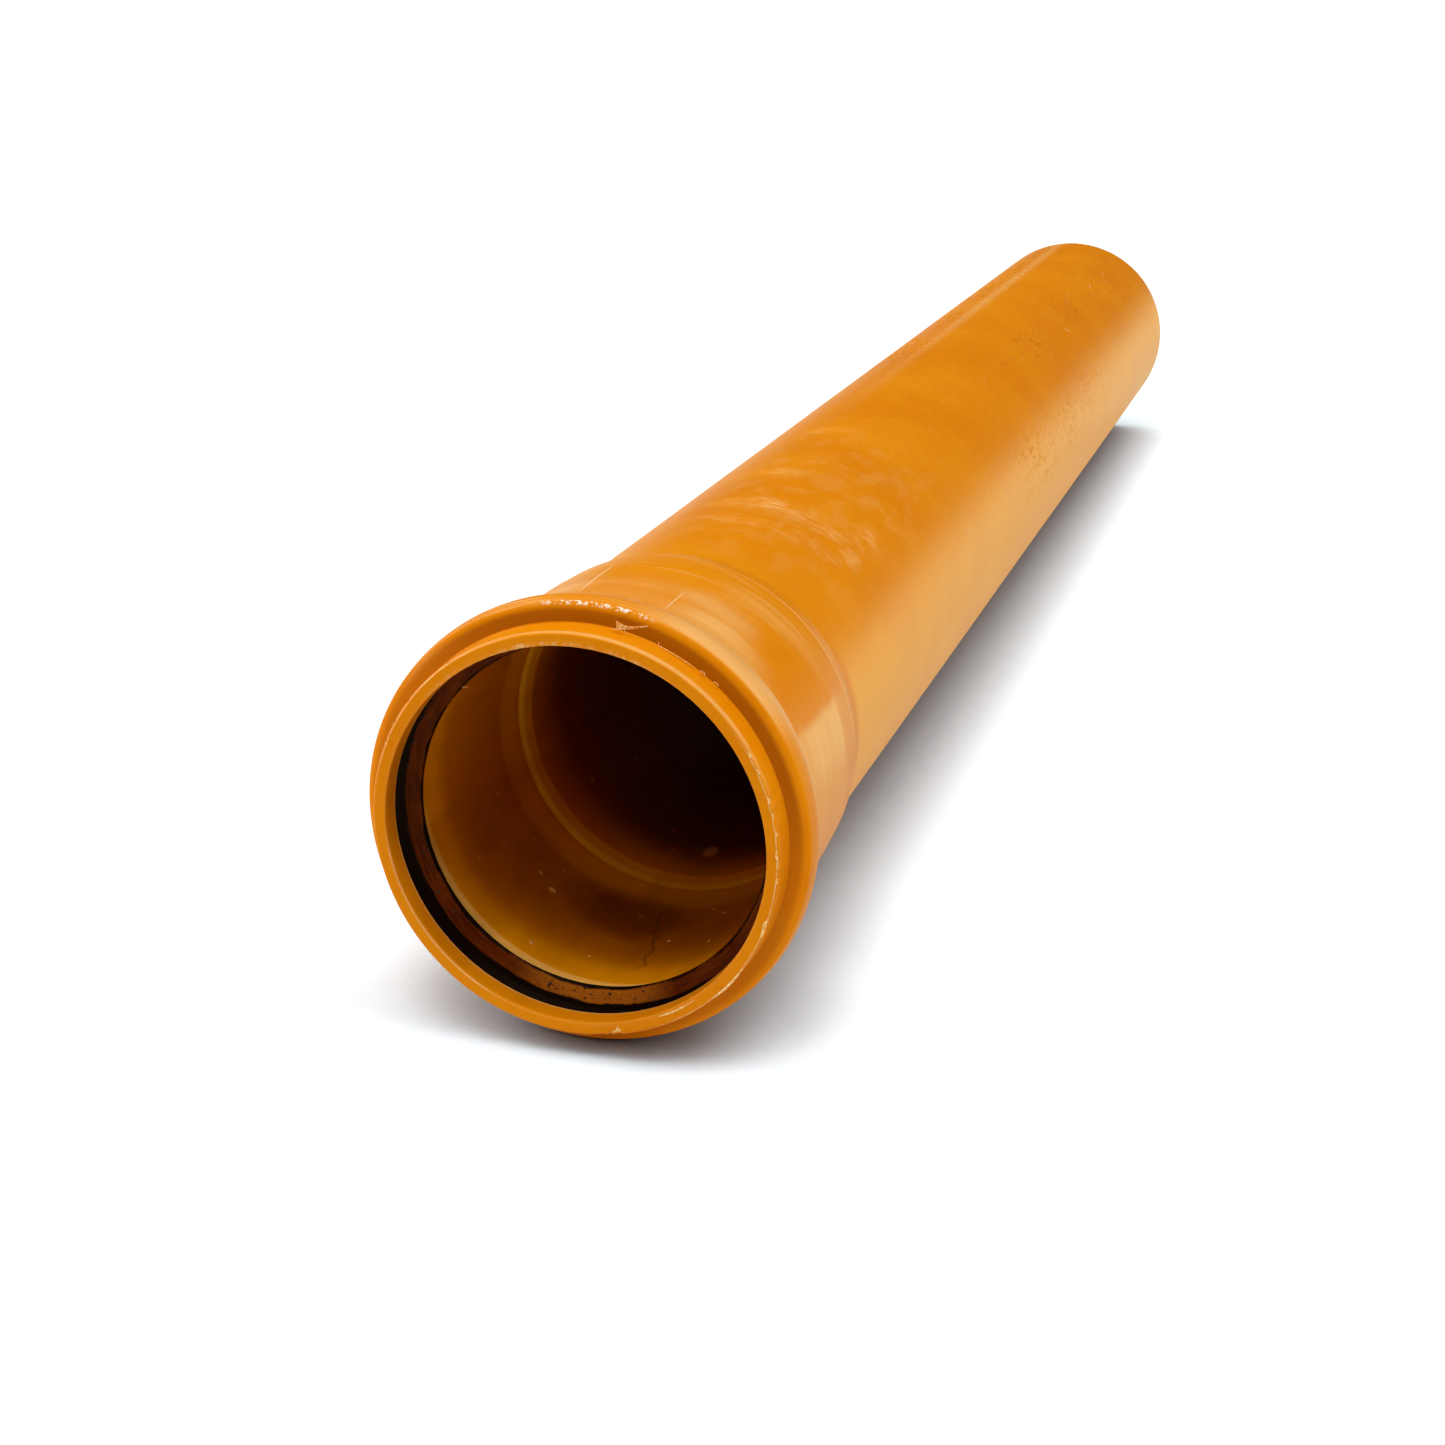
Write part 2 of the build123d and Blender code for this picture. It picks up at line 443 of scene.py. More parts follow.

# Socket body: brushed round by the mandrel's collar, with hazy patches that are partly painted highlights, a
# painted highlight on its crease, a pale foot line and a few straight scratches.
body = outside * window(along, 36.0, 113.0, 3.0)
colour = (body * round_lines.ease(0.52, 0.74) * 0.24).tint(colour, scuff_and_highlight_pale)
brushed = start.grain(start.vector(side * 0.5, along * 0.10, top * 0.5), 1.0, 4.0, 0.6)
streaked = 0.32 + brushed.ease(0.32, 0.62) * 0.36 + round_lines * 0.3
wavy_angle = angle + (brushed - 0.5) * 9.0
# Partly painted highlight: the body's lower right side and a few patches are made paler where they catch
# light, mixed with haze.
hazy_lit_side = (1.0 - wavy_angle.ease(20.4, 26.0)) * angle.ease(-46.0, 10.0)
hazy_lit_side = hazy_lit_side * (1.0 - along.ease(84.0, 93.0) * 0.55)
haze_and_highlight = hazy_lit_side * (0.62 + 0.35 * window(angle, 6.0, 30.0, 6.0))
haze_and_highlight = haze_and_highlight + patches(
    0.9,
    (120.0, 70.0, 16.0, 36.0, 0.6),
    (50.0, 84.0, 20.0, 8.0, 0.45),
    (62.0, 62.0, 12.0, 14.0, 0.3),
)
haze_and_highlight = haze_and_highlight + patch(80.0, 44.0, 34.0, 30.0, 0.98) * 0.36 + patch(54.0, 34.0, 22.0, 18.0, 0.95) * 0.42
colour = (body * haze_and_highlight * streaked).ease(0.0, 1.0, 0.0, 0.95).tint(colour, scuff_and_highlight_pale)
bare_patch = patch(37.0, 64.0, 13.0, 20.0, 0.8) * body * round_lines.ease(0.36, 0.56)
colour = (bare_patch * 0.75).tint(colour, deep_orange)
scratches = patches(
    0.5,
    (103.7, 69.0, 0.28, 18.0, 0.8),
    (75.2, 52.5, 0.22, 11.0, 0.5),
    (98.0, 41.5, 7.0, 0.5, 0.6),
    (88.0, 43.5, 5.0, 0.4, 0.4),
)
colour = (scratches * outside).tint(colour, scratch_and_highlight_pale)
# Painted highlight: a pale thin line along the crease, strongest on its lit side.
crease_highlight = outside * window(along, 100.5, 101.9, 0.35) * (0.35 + 0.65 * window(angle, 8.0, 60.0, 12.0))
colour = (crease_highlight * (0.35 + round_hairs * 0.6)).tint(colour, scuff_and_highlight_pale)
# A pale line at the bead's foot: scratches and a painted highlight together, strongest on the right.
foot_scratch_and_highlight = outside * window(along, 39.6, 41.0, 0.4) * (0.05 + 0.7 * window(angle, 2.0, 34.0, 10.0))
colour = (foot_scratch_and_highlight * (0.3 + round_hairs * 0.6)).tint(colour, scratch_and_highlight_pale)

# Bead: its crest is scraped pale by the floor and by other pipes, and painted paler as a sheen; painted
# glints sit on its front shoulder and a painted highlight on its rear slope; painted shade darkens its front
# corner.
# The crest's pale scrape marks are also a painted sheen, strongest over the top.
crest = outside * window(along, 13.0, 20.0, 2.0) * radius.ease(72.6, 73.6)
scrape_and_sheen = round_hairs.ease(0.48, 0.66) * (0.35 + 0.65 * window(angle, 20.0, 118.0, 14.0))
colour = (crest * scrape_and_sheen * 0.6).tint(colour, scuff_and_highlight_pale)
sparks = start.grain(pipe_place, 900.0, 2.0, 0.5)
# Painted highlight: a row of small white glints on the bead's front shoulder.
painted_glints = outside * window(along, 11.4, 12.4, 0.2) * radius.ease(72.1, 72.7) * window(angle, 73.0, 99.0, 3.5)
painted_glints = painted_glints * sparks.ease(0.49, 0.58)
colour = (painted_glints * 0.85).tint(colour, glint_white)
# Painted highlight mixed with brushed lines on the bead's rear slope.
rear_slope_highlight = outside * window(along, 12.2, 40.0, 0.7) * window(angle, 32.0, 70.0, 9.0)
rear_slope_highlight = rear_slope_highlight + outside * window(along, 20.0, 40.0, 2.5) * window(angle, -30.0, 34.0, 12.0) * 0.6
colour = (rear_slope_highlight * (0.30 + round_lines * 0.7)).tint(colour, scuff_and_highlight_pale)
shoulder_rings = outside * window(along, 12.0, 24.0, 1.5) * window(angle, 100.0, 160.0, 12.0)
colour = (shoulder_rings * round_hairs.ease(0.56, 0.66) * 0.6).tint(colour, scratch_and_highlight_pale)
# Painted shade: the concave corner between the lip and the bead's front is darkened, most over the top and
# right.
flank_shade = outside * window(along, 7.5, 13.2, 1.2) * radius.ease(67.25, 67.6) * (1.0 - radius.ease(70.4, 72.6))
colour = (flank_shade * (0.42 + 0.53 * window(angle, 0.0, 128.0, 20.0))).tint(colour, corner_shade)

# Cut mouth: saw marks across the face, pale torn plastic along its inner edge, a rubbed outer edge with a
# painted glint, and painted highlights on the lip's round-over, the inner rim and the bore's back edge.
face = outside * (1.0 - along.ease(0.35, 0.9))
torn = start.grain(pipe_place, 330.0, 4.0, 0.7)
inner_edge = face * (1.0 - radius.ease(63.25, 64.3)) * torn.ease(0.44, 0.60)
top_of_mouth = window(angle, 48.0, 132.0, 10.0)
torn_places = cloud.ease(0.46, 0.58)
colour = (inner_edge * torn_places * top_of_mouth * 0.55).tint(colour, scratch_and_highlight_pale)
# The outer edge's pale line is torn burrs and a painted glint together.
outer_edge_wear_and_glint = outside * (1.0 - along.ease(0.3, 0.5)) * window(radius, 66.15, 66.42, 0.08)
edge_side = window(angle, -62.0, 34.0, 8.0) + window(angle, 112.0, 166.0, 8.0) * 0.7
colour = (outer_edge_wear_and_glint * edge_side * (0.35 + torn.ease(0.40, 0.62) * 0.5)).tint(colour, scratch_and_highlight_pale)
# Painted highlight: a soft pale band on the lip's rounded outer edge, over the top.
lip_highlight = outside * window(along, 0.25, 2.0, 0.35) * radius.ease(66.3, 66.8)
lit_lip_side = window(angle, 26.0, 150.0, 14.0) * 0.7
colour = (lip_highlight * lit_lip_side * (0.5 + cloud * 0.5)).tint(colour, scuff_and_highlight_pale)
# Painted highlight: a thin pale line round the face's inner rim, strongest low on the left.
rim_highlight = start.sum_of("LESS_THAN", radius, 63.5) * window(along, 0.05, 0.5, 0.12)
low_left = window(angle, -172.0, -118.0, 6.0)
colour = (rim_highlight * (0.08 + low_left * 0.4)).tint(colour, scratch_and_highlight_pale)
# Painted highlight: a pale band on the rounded back edge of the lip's bore.
back_edge_highlight = start.sum_of("LESS_THAN", radius, 64.4) * window(along, 7.2, 9.6, 0.6)
colour = (back_edge_highlight * 0.6).tint(colour, scuff_and_highlight_pale)

# Inside: duller than the outside and darkened by painted shade, deepest far down the bore; painted light
# brightens its left wall, shoulder rings, lower wall and the corner behind the seal; a painted glint sits low
# in the bore; it has soft stains, a dark damp patch and a hair.
shaded, lit_wall = (0.42, 0.12, 0.0, 1.0), (1.0, 0.43, 0.0, 1.0)
steep_lit, soft_lit = (1.0, 0.54, 0.02, 1.0), (0.92, 0.36, 0.01, 1.0)
low_lit, corner_lit = (0.98, 0.37, 0.0, 1.0), (1.0, 0.52, 0.10, 1.0)
stained, smoked = (0.30, 0.075, 0.0, 1.0), (0.14, 0.022, 0.0, 1.0)
bore_shade, bore_floor_shade = (0.18, 0.022, 0.0, 1.0), (0.05, 0.001, 0.0, 1.0)
glint_orange, hair_brown = (0.80, 0.34, 0.08, 1.0), (0.06, 0.008, 0.0, 1.0)
# Painted shade: the whole inside is tinted darker.
colour = (inside * 0.30).tint(colour, shaded)
# Painted light: the left wall, the shoulder's rings, the lower wall and the corner behind the seal are made
# brighter where light falls in through the mouth.
left_wall = inside * (1.0 - side.ease(-58.0, -30.0)) * (1.0 - along.ease(96.0, 104.0))
colour = (left_wall * 0.97).tint(colour, lit_wall)
steep_ring = inside * window(along, 109.9, 116.6, 0.4) * (1.0 - along.ease(111.6, 113.6) * 0.7)
low_turn = window(angle, -122.0, -48.0, 22.0)
colour = (steep_ring * (1.0 - low_turn * 0.5)).tint(colour, steep_lit)
soft_ring = inside * window(along, 97.0, 109.0, 2.5)
colour = (soft_ring * 0.45).tint(colour, soft_lit)
low_wall = inside * window(along, 28.0, 44.0, 7.0)
colour = (low_wall * 0.8).tint(colour, low_lit)
lit_corner = inside * window(along, 28.8, 31.5, 0.6) * window(angle, -170.0, -64.0, 12.0)
colour = (lit_corner * 0.95).tint(colour, corner_lit)
soft_stains = start.grain(start.vector(side * 2.6, along * 0.012, top * 2.6), 1.0, 2.0, 0.5)
colour = (inside * soft_stains.ease(0.45, 0.68) * 0.28).tint(colour, stained)
smoke = start.grain(pipe_place, 55.0, 4.0, 0.65)
damp = patch(-90.0, 80.0, 52.0, 30.0, 0.98) * 0.55
damp = damp + patches(
    0.95,
    (-100.0, 84.0, 20.0, 15.0, 0.35),
    (-107.0, 89.0, 5.0, 4.0, 0.35),
    (-154.0, 62.0, 8.0, 10.0, 0.3),
)
colour = (inside * damp * (0.6 + smoke * 0.7)).ease(0.0, 1.0, 0.0, 0.85).tint(colour, smoked)
# Painted shade: the bore is darkened far from the mouth, most along its floor.
far_bore_shade = inside * along.ease(114.0, 150.0)
colour = (far_bore_shade * 0.75).tint(colour, bore_shade)
colour = (far_bore_shade * low_turn * 0.65).tint(colour, bore_floor_shade)
# Painted highlight: a small pale glint low in the bore.
bore_glint = patch(-88.0, 141.0, 2.6, 5.0, 0.8) * inside
colour = (bore_glint * 0.6).tint(colour, glint_orange)
wander = start.grain(start.vector(along * 0.06, 0.0, 0.0), 1.0, 3.0, 0.7) * 13.0
off_hair = start.sum_of("ABSOLUTE", angle - (along.ease(43.0, 99.0, -90.0, -97.0) + wander))
hair = inside * (1.0 - off_hair.ease(0.25, 0.75)) * window(along, 44.0, 98.0, 3.0)
colour = (hair * 0.5).tint(colour, hair_brown)
wall_specks = inside * start.grain(pipe_place, 260.0, 2.0, 0.5).ease(0.70, 0.74)
colour = (wall_specks * 0.4).tint(colour, light_orange)

# Gloss and relief follow the same marks: rubbed and dirty places are duller, scratches lie deeper.
scrubbed = smears * barrel + body * round_lines * 0.6 + crest * 0.8 + chalky_lit_side * 0.4 + face * 0.7
gloss = 0.25 + mottle * 0.09 + fine * 0.05 + scrubbed.ease(0.0, 1.6) * 0.16 + dirt_marks * 0.3 + inside * 0.05
height = fine * 0.5 + round_lines * body * 1.2 + round_hairs * crest * 1.6 + drawn_lines * barrel * 0.5
height = height + dirt_marks * 0.25 + torn * face * 0.7 + scratches * -1.0 + mottle * 0.6
relief = start.make("ShaderNodeBump", {}, {"Strength": 0.16, "Distance": 0.0004, "Height": height})
feed(plastic_shader, {"Base Color": colour, "Roughness": gloss, "Normal": relief})
plastic_shader.inputs["IOR"].default_value = 1.42
plastic_shader.inputs["Specular IOR Level"].default_value = 0.22
plastic_shader.inputs["Specular Tint"].default_value = (1.0, 0.74, 0.28, 1.0)
pipe_mesh.materials.append(plastic)
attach(pipe_body, "root")
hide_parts("pipe")

# Shavings: curls, hairs and crumbs of the pipe's own plastic, torn loose when the mouth was sawn and
# still hanging on its edges, paler than the wall because their faces are freshly cut.
def on_pipe(angle, along, radius):
    """A place on the pipe, in millimetres, from its angle, distance from the mouth and radius."""
    turn = math.radians(angle)
    return Vector((radius * math.cos(turn), along, radius * math.sin(turn)))


def curl_rows(places, widths):
    """A curl's places, each with its width, with softly curved steps put in between them."""
    steps_per_gap = 5
    rows = [Vector((*place, width)) for place, width in zip(places, widths)]
    finer = []
    for step in range(steps_per_gap * (len(rows) - 1) + 1):
        index = min(step // steps_per_gap, len(rows) - 2)
        share = step / steps_per_gap - index
        here, there = rows[index], rows[index + 1]
        pull = (there - rows[max(index - 1, 0)]) / 2
        push = (rows[min(index + 2, len(rows) - 1)] - here) / 2
        row = here + pull * share + (3 * (there - here) - 2 * pull - push) * share**2
        finer.append(row + (2 * (here - there) + pull + push) * share**3)
    return finer


def add_curl(shavings, places, widths, lean):
    """Draws one ribbon of plastic along places on the pipe; lean tips its width towards the mouth."""
    thinnest = 0.08
    mouthward = Vector((0.0, -1.0, 0.0)) * math.sin(lean)
    edge = None
    for row in curl_rows(places, widths):
        middle = on_pipe(*row[:3])
        outward = on_pipe(row[0], 0.0, 1.0) * math.cos(lean)
        reach = (outward + mouthward) * max(row[3], thinnest) / 2
        if edge is None:
            ends = [shavings.verts.new(middle - reach), shavings.verts.new(middle + reach)]
            edge = shavings.edges.new(ends)
        else:
            grown = bmesh.ops.extrude_edge_only(shavings, edges=[edge])["geom"]
            edge = next(item for item in grown if isinstance(item, bmesh.types.BMEdge))
            low, high = sorted(edge.verts, key=lambda vert: (vert.co - last_low).length)
            low.co, high.co = middle - reach, middle + reach
        last_low = middle - reach


# Each curl has its places (angle, distance from the mouth, radius), its widths there and its lean.
curls = (
    (
        ((79.5, 8.6, 69.2), (78.7, 8.3, 69.3), (77.5, 8.0, 69.5), (76.2, 8.2, 69.6)),
        (3.0, 2.6, 1.5, 1.0),
        0.3,
    ),
    (
        ((76.6, 8.2, 69.5), (75.2, 8.5, 70.0), (73.6, 8.8, 70.9), (71.8, 9.1, 72.0)),
        (1.1, 0.9, 0.55, 0.12),
        0.3,
    ),
    (
        ((80.3, 8.6, 67.8), (79.2, 8.3, 68.0), (78.0, 7.9, 68.5), (77.0, 8.1, 69.0)),
        (0.3, 0.9, 1.0, 0.4),
        1.0,
    ),
    (((77.2, 8.2, 69.0), (76.8, 8.0, 68.3), (76.6, 7.9, 67.7)), (0.45, 0.3, 0.4), 0.2),
    (
        ((67.3, 9.3, 67.7), (64.5, 9.3, 67.7), (60.5, 9.3, 67.7), (56.7, 9.3, 67.8)),
        (0.24, 0.28, 0.34, 0.34),
        0.9,
    ),
    (((67.9, 9.6, 68.6), (67.6, 9.4, 67.9)), (0.35, 0.5), 0.3),
    (((55.2, 9.2, 68.2), (54.2, 9.0, 68.4), (53.3, 9.0, 68.2)), (0.3, 1.2, 0.5), 0.7),
    (((50.6, 9.3, 68.2), (49.9, 9.0, 68.7), (49.0, 9.0, 68.4)), (0.3, 0.55, 0.3), 0.6),
    (((31.3, 0.0, 66.5), (30.6, -0.1, 66.9), (29.8, 0.0, 66.5)), (0.4, 1.0, 0.3), 0.5),
    (((31.1, 0.0, 67.1), (30.3, -0.1, 66.5)), (0.3, 0.4), 0.4),
    (
        ((26.6, 0.0, 66.4), (25.9, -0.1, 67.0), (25.2, -0.1, 66.9), (25.0, 0.0, 66.4)),
        (0.3, 0.5, 0.5, 0.3),
        0.5,
    ),
    (((18.7, 0.05, 66.4), (17.6, -0.05, 66.7), (16.4, 0.0, 66.4)), (0.4, 0.9, 0.4), 0.5),
    (((14.2, 0.05, 66.4), (13.4, -0.05, 66.7), (12.3, 0.05, 66.4)), (0.3, 0.8, 0.4), 0.5),
    (((9.0, 0.05, 66.5), (8.0, -0.05, 66.8), (7.2, 0.05, 66.5)), (0.35, 0.9, 0.3), 0.5),
    (
        ((3.2, 0.0, 66.2), (2.0, -0.1, 66.3), (0.6, 0.0, 66.5), (-1.4, 0.1, 66.6)),
        (0.5, 1.0, 0.5, 0.3),
        0.4,
    ),
    (((-4.0, 0.05, 66.3), (-5.0, -0.05, 66.6), (-6.0, 0.05, 66.4)), (0.3, 0.8, 0.3), 0.5),
    (
        ((-16.9, 0.0, 66.0), (-18.6, -0.1, 66.1), (-20.4, -0.05, 66.3), (-22.4, 0.1, 66.3)),
        (0.3, 1.3, 1.1, 0.3),
        0.2,
    ),
    (
        ((-33.0, 0.05, 66.4), (-37.0, 0.0, 66.6), (-41.5, 0.0, 66.5), (-46.0, 0.05, 66.3)),
        (0.3, 0.6, 0.8, 0.3),
        0.2,
    ),
    (
        ((-51.0, 0.0, 63.5), (-55.0, -0.02, 63.5), (-59.5, -0.02, 63.4), (-63.5, 0.0, 63.2)),
        (0.2, 0.45, 0.6, 0.3),
        0.1,
    ),
    (
        ((-72.6, 0.1, 63.7), (-73.8, 0.1, 64.3), (-75.6, 0.1, 64.6), (-78.9, 0.12, 65.6)),
        (0.7, 1.9, 1.5, 0.4),
        0.0,
    ),
    (
        ((-75.2, 0.1, 63.4), (-76.3, 0.1, 63.3), (-76.9, 0.1, 64.0), (-77.6, 0.1, 65.2)),
        (0.25, 0.5, 0.6, 0.3),
        0.0,
    ),
    (
        ((-84.9, 0.1, 64.0), (-85.8, 0.1, 63.5), (-87.4, 0.1, 64.1), (-88.2, 0.12, 65.2)),
        (0.12, 0.22, 0.25, 0.12),
        0.0,
    ),
    (((126.9, 0.0, 66.3), (126.0, -0.1, 66.7)), (0.3, 0.5), 0.4),
    (((151.9, 0.0, 66.4), (151.0, -0.1, 66.8)), (0.3, 0.5), 0.4),
    (((158.0, 0.0, 66.3), (157.2, -0.1, 66.7)), (0.3, 0.6), 0.4),
    (((138.0, 19.9, 58.7), (136.9, 19.2, 58.1), (136.2, 19.6, 57.4)), (0.9, 1.0, 0.5), 0.9),
)
shavings = bmesh.new()
for places, widths, lean in curls:
    add_curl(shavings, places, widths, lean)
bmesh.ops.transform(shavings, matrix=lie @ Matrix.Scale(MM, 4), verts=shavings.verts)
bmesh.ops.recalc_face_normals(shavings, faces=shavings.faces)
shavings_mesh = bpy.data.meshes.new("mouth_shavings")
shavings.to_mesh(shavings_mesh)
shavings.free()
mouth_shavings = bpy.data.objects.new("mouth_shavings", shavings_mesh)
scene.collection.objects.link(mouth_shavings)
wall = mouth_shavings.modifiers.new("wall", "SOLIDIFY")
wall.thickness = 0.00014
wall.offset = 0.0
cut_plastic, cut_shader, start = new_finish("cut_plastic")
cut_place = start.make("ShaderNodeTexCoord", output=3)
creases = start.grain(cut_place, 1400.0, 3.0, 0.6)
creased, cut_fresh = (0.80, 0.36, 0.05, 1.0), (0.98, 0.80, 0.44, 1.0)
cut_colour = creases.ease(0.42, 0.64).tint(creased, cut_fresh)
cut_relief = start.make("ShaderNodeBump", {}, {"Strength": 0.4, "Distance": 0.0002, "Height": creases})
feed(cut_shader, {"Base Color": cut_colour, "Roughness": 0.35 + creases * 0.2, "Normal": cut_relief})
cut_shader.inputs["Specular IOR Level"].default_value = 0.25
shavings_mesh.materials.append(cut_plastic)
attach(mouth_shavings, "root")

# The sealing ring: one moulded ring of brown-black rubber, pressed into the bead's groove. Its
# shape is right as packed, so it stays and only gets its damp, dusty rubber: brown on the lip's face, paler
# brown towards the bottom, painted shade black beside it and painted glints low down.
rubber, rubber_shader, start = new_finish("seal_rubber")
rubber_place = pipe_position(start)
across = rubber_place.part(0)
upward = rubber_place.part(2)
ring_radius = start.sum_of("SQRT", across * across + upward * upward) * 1000.0
low_side = (upward / ring_radius * -1000.0).ease(0.88, 1.0)
film = start.grain(rubber_place, 60.0, 5.0, 0.65)
specks = start.grain(rubber_place, 1300.0, 2.0, 0.6)
streaks = start.grain(start.vector(across * 70.0, ring_radius * 1.1, upward * 70.0), 1.0, 4.0, 0.6)
ragged = ring_radius + (film - 0.5) * 3.2
# Painted shade: outside the lip's face band the rubber is made nearly black, standing in for the shadow in
# the groove.
lip_face_band = (1.0 - ragged.ease(63.0, 63.6)) * ragged.ease(58.7, 59.3)
dark_brown, dusty_brown = (0.055, 0.006, 0.0002, 1.0), (0.125, 0.022, 0.0006, 1.0)
lower_brown, pitted = (0.44, 0.13, 0.008, 1.0), (0.05, 0.007, 0.0, 1.0)
shadowed_rubber, damp_glint = (0.0025, 0.0006, 0.0003, 1.0), (0.60, 0.30, 0.08, 1.0)
brown = (film * 0.5 + streaks * 0.5).ease(0.38, 0.62).tint(dark_brown, dusty_brown)
# Paler brown towards the bottom of the ring.
brown = (low_side * (0.5 + streaks * 0.6)).tint(brown, lower_brown)
brown = (specks.ease(0.56, 0.66) * low_side * 0.8).tint(brown, pitted)
tone = lip_face_band.tint(shadowed_rubber, brown)
# Painted highlight: small pale glints on the lower lip face.
tone = (specks.ease(0.70, 0.74) * low_side * lip_face_band).tint(tone, damp_glint)
bump_height = film * 0.6 + specks * low_side * 1.2
bump = start.make("ShaderNodeBump", {}, {"Strength": 0.35, "Distance": 0.0003, "Height": bump_height})
feed(rubber_shader, {"Base Color": tone, "Roughness": 0.34 + film * 0.2, "Normal": bump})
rubber_shader.inputs["Specular IOR Level"].default_value = 0.08
rubber_shader.inputs["Specular Tint"].default_value = (1.0, 0.62, 0.35, 1.0)
for slot in frame["nodes"]["seal_ring"].material_slots:
    slot.material = rubber


# Water: drops left by rain, small and dark on the seal's lip, larger and flatter on the wall behind
# it. Each is a low dome pressed onto the surface that carries it.
def add_drop(drops, place, normal, width, rise):
    """Adds one dome of water, its flat side a little under the surface."""
    dome = bmesh.ops.create_icosphere(drops, subdivisions=2, radius=width / 2)["verts"]
    bmesh.ops.scale(drops, vec=(1.0, 1.0, 2 * rise / width), verts=dome)
    turn = normal.to_track_quat("Z", "Y").to_matrix().to_4x4()
    bmesh.ops.transform(drops, matrix=Matrix.Translation(place) @ turn, verts=dome)


def finish_drops(drops, name, finish):
    """Lays the drops on the pipe as one piece and gives them their finish."""
    bmesh.ops.transform(drops, matrix=lie @ Matrix.Scale(MM, 4), verts=drops.verts)
    bmesh.ops.recalc_face_normals(drops, faces=drops.faces)
    mesh = bpy.data.meshes.new(name)
    drops.to_mesh(mesh)
    drops.free()
    for face in mesh.polygons:
        face.use_smooth = True
    mesh.materials.append(finish)
    water = bpy.data.objects.new(name, mesh)
    scene.collection.objects.link(water)
    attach(water, "root")


dice = random.Random(7)
lip_edge_along, lip_edge_radius = 18.9, 58.5
lip_lean, lip_height = 2.9, 6.5
seal_slope = math.atan2(lip_lean, lip_height)
low_drops, side_drops = 28, 6
seal_drops = bmesh.new()
for index in range(low_drops + side_drops):
    angle_at = dice.uniform(-178.0, -50.0) if index < low_drops else dice.uniform(150.0, 180.0)
    radius_at = dice.uniform(59.3, 63.4)
    along_at = lip_edge_along - (radius_at - lip_edge_radius) * lip_lean / lip_height
    inward = on_pipe(angle_at, 0.0, -math.sin(seal_slope))
    normal = inward + Vector((0.0, -math.cos(seal_slope), 0.0))
    width = dice.uniform(0.45, 1.1)
    add_drop(seal_drops, on_pipe(angle_at, along_at, radius_at), normal, width, width * 0.3)
dark_water, dark_shader, start = new_finish("dark_water")
shift = start.grain(start.make("ShaderNodeTexCoord", output=3), 300.0, 2.0, 0.5)
dark_tone = shift.tint((0.004, 0.001, 0.0, 1.0), (0.05, 0.015, 0.002, 1.0))
feed(dark_shader, {"Base Color": dark_tone, "Roughness": 0.05 + shift * 0.08})
finish_drops(seal_drops, "seal_drops", dark_water)

# The wall's drops have their angle, their distance from the mouth and their width.
wall_places = (
    (-140.7, 91.0, 2.0), (-131.1, 79.0, 2.2), (-126.6, 90.5, 1.7), (-124.5, 75.0, 3.0), (-81.3, 68.0, 1.3),
    (-68.6, 89.0, 1.2), (-81.3, 52.5, 1.0), (-74.0, 95.0, 1.0), (-93.0, 62.0, 1.1), (-101.0, 47.0, 1.4),
    (-118.0, 39.0, 2.2), (-66.0, 62.0, 1.2), (-148.0, 52.0, 1.6), (-160.0, 84.0, 1.5),
)
wall_radius = 62.98
wall_drops = bmesh.new()
for angle_at, along_at, width in wall_places:
    place = on_pipe(angle_at, along_at, wall_radius)
    add_drop(wall_drops, place, on_pipe(angle_at, 0.0, -1.0), width, width * 0.22)
clear_water, clear_shader, start = new_finish("clear_water")
shift = start.grain(start.make("ShaderNodeTexCoord", output=3), 500.0, 2.0, 0.5)
# The drops take the wall's orange seen through the water, paler in spots as painted highlights.
drop_tone_and_glints = shift.ease(0.4, 0.6).tint((0.55, 0.20, 0.01, 1.0), (0.95, 0.55, 0.16, 1.0))
feed(clear_shader, {"Base Color": drop_tone_and_glints, "Roughness": 0.04 + shift * 0.06})
finish_drops(wall_drops, "wall_drops", clear_water)

# The floor: a plain pale sheet that keeps the pipe's soft shadow and shows white around it. It darkens
# a little where the pipe shuts out the light close by.
bpy.ops.mesh.primitive_plane_add(size=60.0)
floor = bpy.context.object
floor.name = "floor"
sheet, matt, start = new_finish("floor_sheet")
nearness = start.make("ShaderNodeAmbientOcclusion", {"samples": 3}, {"Distance": 0.055}, output=1)
seen = start.make("ShaderNodeLightPath", output=0)
shut_in = 1.0 - nearness.ease(0.42, 0.66)
bounce_floor, seen_floor = (0.82, 0.76, 0.58, 1.0), (0.78, 0.83, 0.855, 1.0)
shaded_floor, dark, glow = (0.24, 0.31, 0.36, 1.0), (0.0, 0.0, 0.0, 1.0), (0.25, 0.315, 0.345, 1.0)
pale_floor = seen.tint(bounce_floor, seen_floor)
floor_colour = (shut_in * seen).tint(pale_floor, shaded_floor)
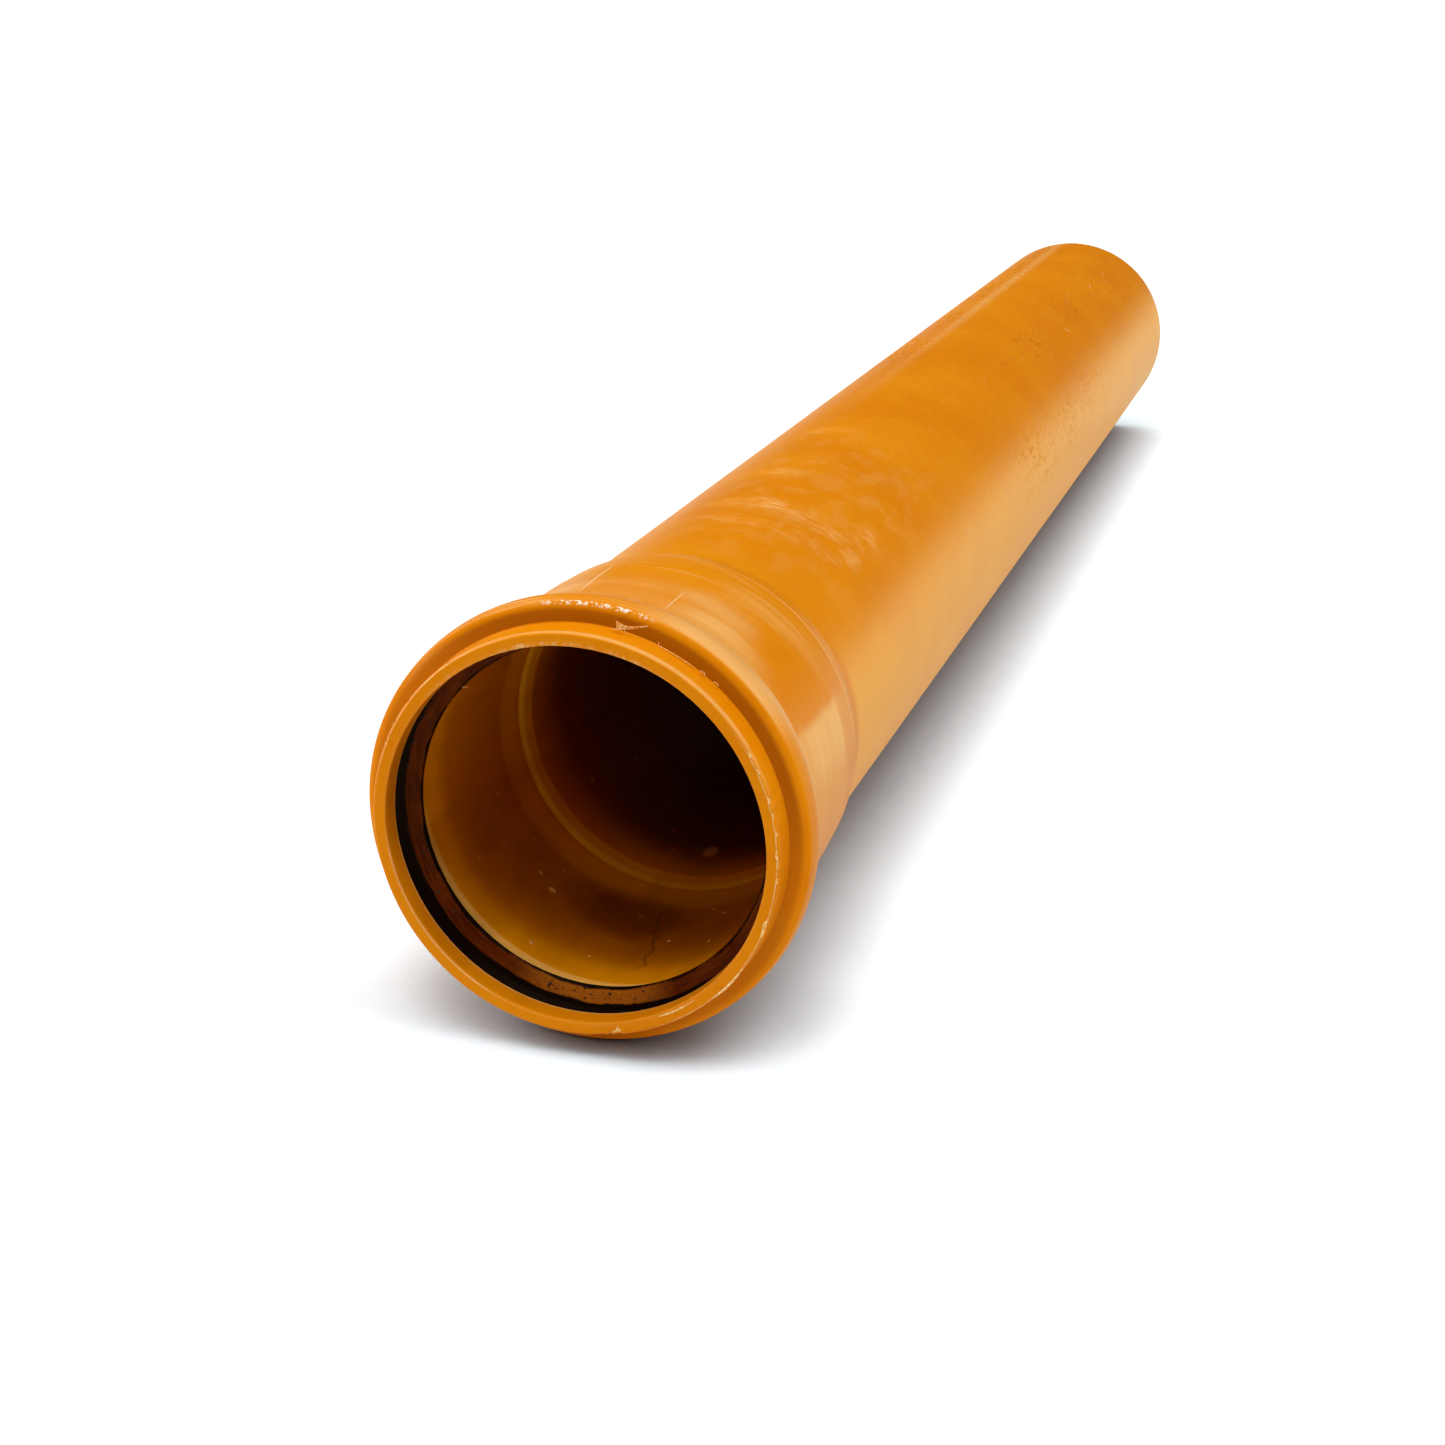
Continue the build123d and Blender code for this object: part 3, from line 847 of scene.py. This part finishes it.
floor_glow = (seen * (1.0 - shut_in)).tint(dark, glow)
feed(matt, {"Base Color": floor_colour, "Emission Color": floor_glow})
matt.inputs["Emission Strength"].default_value = 1.0
matt.inputs["Roughness"].default_value = 1.0
matt.inputs["Specular IOR Level"].default_value = 0.0
floor.data.materials.append(sheet)

# The light: a white room, one large soft box low on the left, one overhead, and weaker ones in front,
# on the right and behind, then the camera low in front of the mouth.
world = bpy.data.worlds.new("studio")
scene.world = world
world.use_nodes = True
air = Tone(world.node_tree)
white_seen = air.make("ShaderNodeLightPath", output=0)
room = white_seen.tint((0.03, 0.03, 0.03, 1.0), (1.0, 1.0, 1.0, 1.0))
feed(world.node_tree.nodes["Background"], {"Color": room})


def soft_box(name, bearing, height, strength, spread):
    """A far soft box, placed by its bearing (0 is right, 90 behind) and its height above the floor."""
    box_data = bpy.data.lights.new(name, "SUN")
    box_data.energy = strength
    box_data.angle = math.radians(spread)
    box = bpy.data.objects.new(name, box_data)
    scene.collection.objects.link(box)
    turn, rise = math.radians(bearing), math.radians(height)
    level = math.cos(rise)
    towards = Vector((level * math.cos(turn), level * math.sin(turn), math.sin(rise)))
    box.rotation_euler = (-towards).to_track_quat("-Z", "Y").to_euler()


soft_box("left_box", 180.0, 27.0, 2.0, 40.0)
soft_box("top_box", 0.0, 64.0, 1.35, 34.0)
soft_box("front_box", 270.0, 70.0, 1.1, 24.0)
soft_box("low_front_box", 270.0, 45.0, 0.5, 30.0)
soft_box("right_box", 0.0, 22.0, 0.38, 45.0)
soft_box("back_box", 45.0, 45.0, 0.3, 45.0)

tilt_down, turn_left = math.radians(19.529408), math.radians(16.861605)
camera_data = bpy.data.cameras.new("camera")
camera_data.sensor_width = 36.0
camera_data.lens = 58.039
camera_data.clip_end = 200.0
camera = bpy.data.objects.new("camera", camera_data)
scene.collection.objects.link(camera)
camera.location = (0.239115, -1.126810, 0.350766)
camera.rotation_euler = (math.pi / 2 - tilt_down, 0.0, turn_left)
scene.camera = camera
scene.view_settings.view_transform = "Standard"
